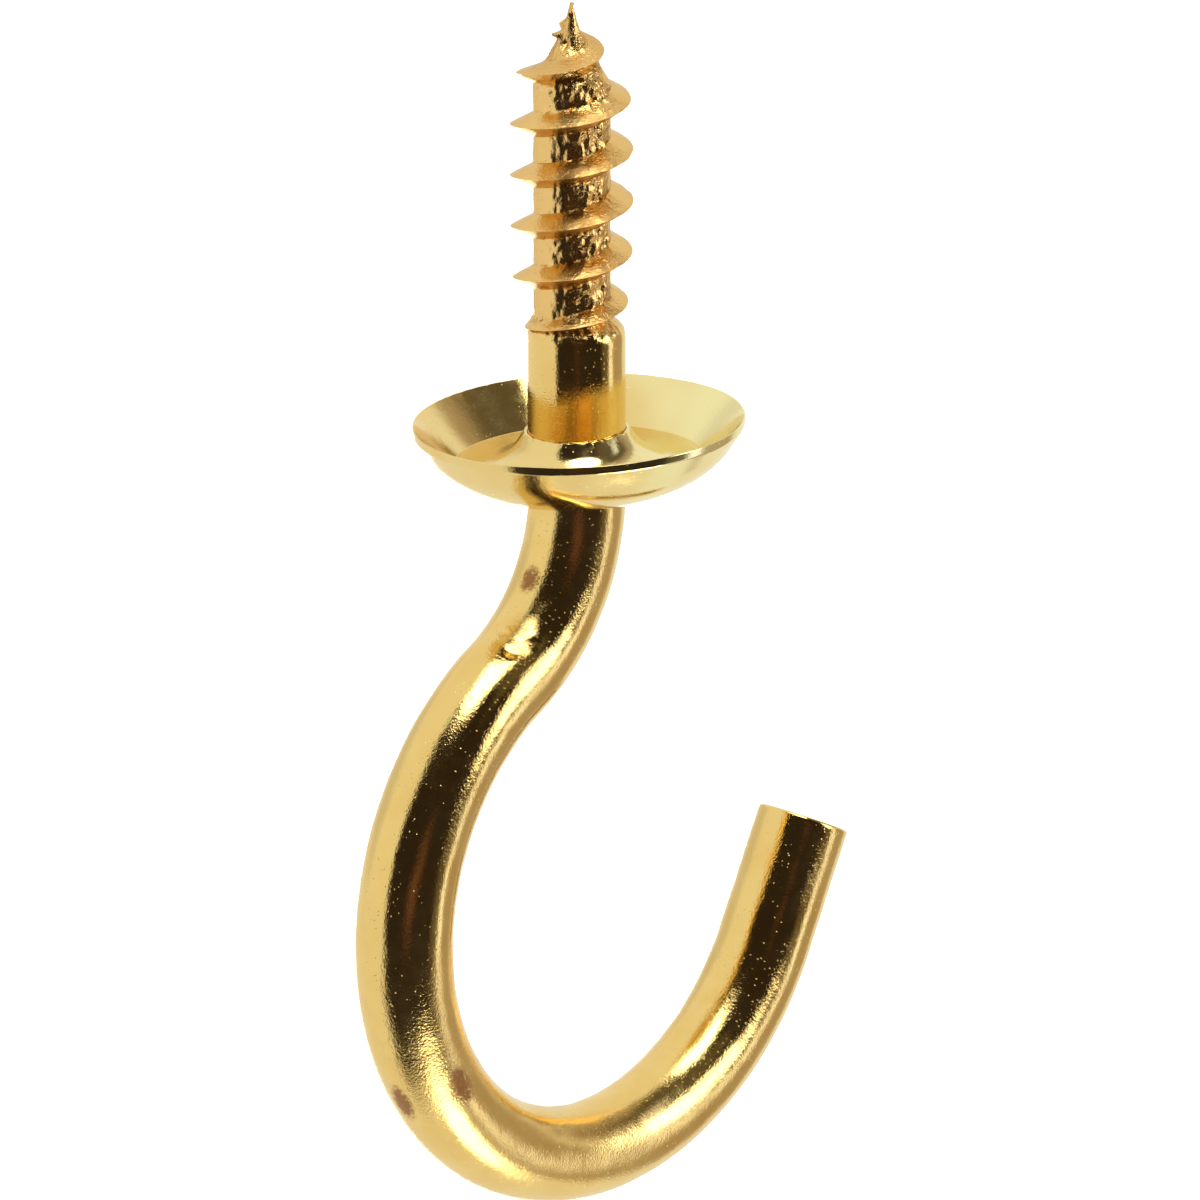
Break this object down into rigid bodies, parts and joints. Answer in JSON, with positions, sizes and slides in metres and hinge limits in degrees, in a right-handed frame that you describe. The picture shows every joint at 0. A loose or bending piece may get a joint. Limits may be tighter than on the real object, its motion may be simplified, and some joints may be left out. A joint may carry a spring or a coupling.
{
  "type": "cup hook",
  "caption": "Open wire hook with a wood-screw thread above a dished cup that covers the hole it is screwed into.",
  "frame": {"origin": "where the screw's axis meets the plane of the cup's rim, which is the face of the board", "axes": "+Z along the screw to its point, +X to the side on which the hook is open, Y square to the hook"},
  "size_m": [0.021, 0.0102, 0.0384],
  "materials": {
    "wire_plating": "bright brass plating",
    "cup_plating": "bright brass plating"
  },
  "bodies": {
    "root": {"hook_wire": "wire_plating", "cup": "cup_plating"}
  },
  "joints": []
}
